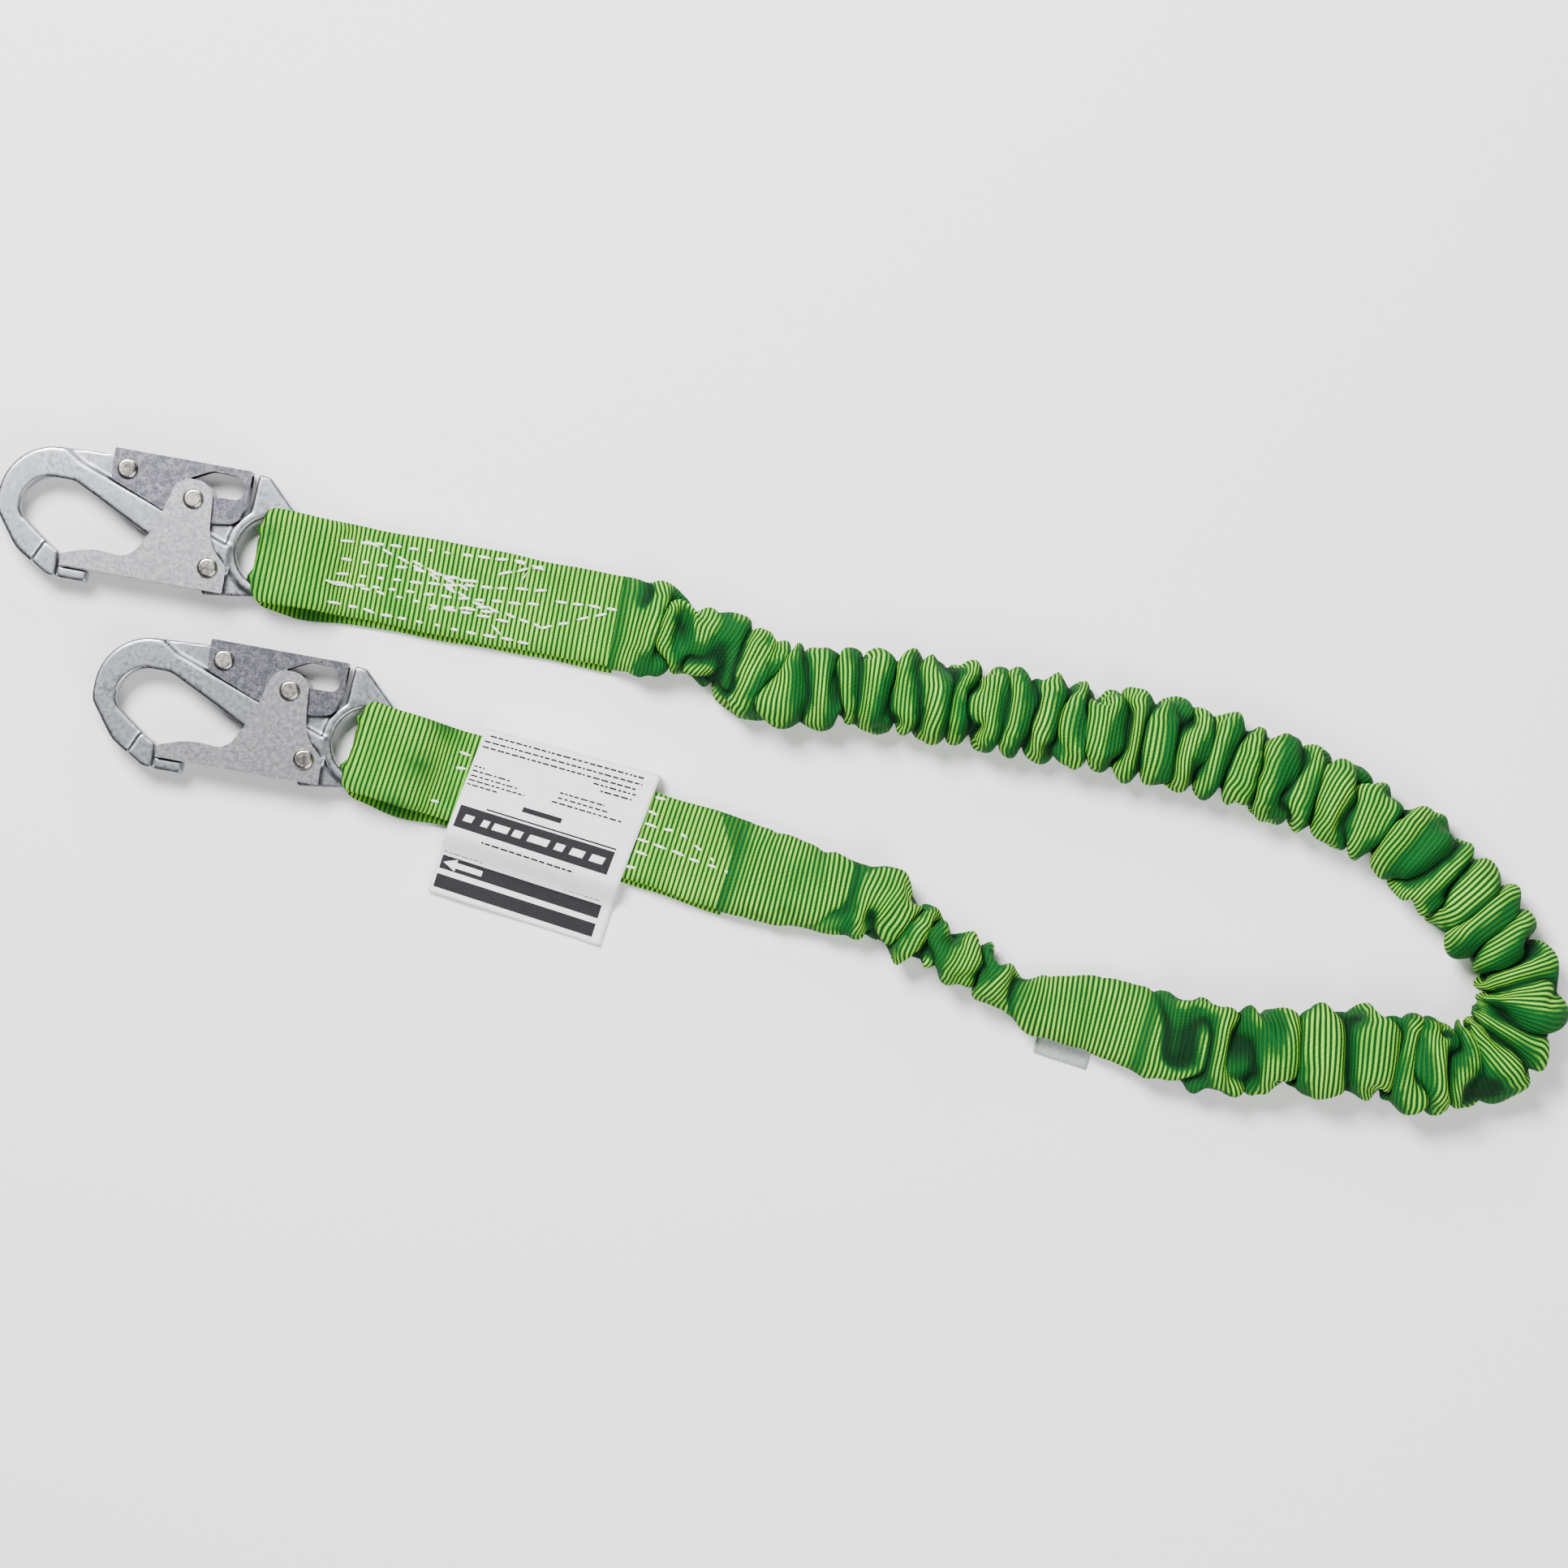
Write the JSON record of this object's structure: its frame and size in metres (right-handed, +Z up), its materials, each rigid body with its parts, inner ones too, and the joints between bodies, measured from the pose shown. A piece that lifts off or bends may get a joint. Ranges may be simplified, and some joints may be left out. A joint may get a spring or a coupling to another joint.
{
  "type": "shock absorbing lanyard",
  "caption": "Stretch shock absorbing lanyard: gathered ribbed webbing over an inner core, with a sewn loop and a double locking snap hook at each end.",
  "frame": {"origin": "on the surface it lies on, under the middle of the hooks, sewn ends, label and tag (the gathered middle is left out)", "axes": "+Z up from the surface; +X along the hooks from their noses to the webbing; +Y across, from hook b to hook a"},
  "size_m": [0.7016, 0.1918, 0.024],
  "materials": {
    "forged_steel": "satin zinc plated forging",
    "gate_steel": "satin zinc plated pressing",
    "lever_steel": "mottled dull zinc plating",
    "rivet_steel": "satin",
    "spring_steel": "bright drawn wire",
    "green_webbing": "ribbed polyester weave",
    "core_webbing": "undyed plain weave",
    "white_thread": "twisted polyester thread",
    "label_vinyl": "printed vinyl",
    "tag_fabric": "woven"
  },
  "bodies": {
    "webbing": {"gathered_jacket": "green_webbing", "shock_core": "core_webbing", "end_a_upper_ply": "green_webbing", "end_a_lower_ply": "green_webbing", "end_a_core": "core_webbing", "end_a_stitching": "white_thread", "end_b_upper_ply": "green_webbing", "end_b_lower_ply": "green_webbing", "end_b_core": "core_webbing", "end_b_stitching": "white_thread", "label": "label_vinyl", "sewn_in_tag": "tag_fabric"},
    "hook_a": {"hook_a_body": "forged_steel", "hook_a_gate_rivet": "rivet_steel", "hook_a_lock_rivet": "rivet_steel", "end_a_loop_turn": "green_webbing"},
    "hook_a_gate": {"hook_a_gate": "gate_steel", "hook_a_cross_rivet": "rivet_steel", "hook_a_gate_spring": "spring_steel"},
    "hook_a_lock": {"hook_a_lock_lever": "lever_steel", "hook_a_lock_spring": "spring_steel"},
    "hook_b": {"hook_b_body": "forged_steel", "hook_b_gate_rivet": "rivet_steel", "hook_b_lock_rivet": "rivet_steel", "end_b_loop_turn": "green_webbing"},
    "hook_b_gate": {"hook_b_gate": "gate_steel", "hook_b_cross_rivet": "rivet_steel", "hook_b_gate_spring": "spring_steel"},
    "hook_b_lock": {"hook_b_lock_lever": "lever_steel", "hook_b_lock_spring": "spring_steel"}
  },
  "joints": [
    {"name": "hook_a_swing", "type": "hinge", "parent": "webbing", "child": "hook_a", "pos_m": [-0.1155, 0.0627, 0.0106], "axis": [0.0105, 0.9999, 0], "range_deg": [-70, 70]},
    {"name": "hook_a_gate_open", "type": "hinge", "parent": "hook_a", "child": "hook_a_gate", "pos_m": [-0.1586, 0.05178, 0.0106], "axis": [0, 0, -1], "range_deg": [0, 18], "stiffness_Nm_per_rad": 0.6, "springref_deg": -17.19},
    {"name": "hook_a_lock_press", "type": "hinge", "parent": "hook_a", "child": "hook_a_lock", "pos_m": [-0.2, 0.08768, 0.0106], "axis": [0, 0, -1], "range_deg": [0, 9], "stiffness_Nm_per_rad": 0.3, "springref_deg": -11.46},
    {"name": "hook_b_swing", "type": "hinge", "parent": "webbing", "child": "hook_b", "pos_m": [-0.06046, -0.01316, 0.0106], "axis": [0.134, 0.991, 0], "range_deg": [-70, 70]},
    {"name": "hook_b_gate_open", "type": "hinge", "parent": "hook_b", "child": "hook_b_gate", "pos_m": [-0.1034, -0.02192, 0.0106], "axis": [0, 0, -1], "range_deg": [0, 18], "stiffness_Nm_per_rad": 0.6, "springref_deg": -17.19},
    {"name": "hook_b_lock_press", "type": "hinge", "parent": "hook_b", "child": "hook_b_lock", "pos_m": [-0.1448, 0.01398, 0.0106], "axis": [0, 0, -1], "range_deg": [0, 9], "stiffness_Nm_per_rad": 0.3, "springref_deg": -11.46}
  ],
  "couplings": [
    {"joint": "hook_a_lock_press", "follows": "hook_a_gate_open", "ratio": 0.5},
    {"joint": "hook_b_lock_press", "follows": "hook_b_gate_open", "ratio": 0.5}
  ]
}
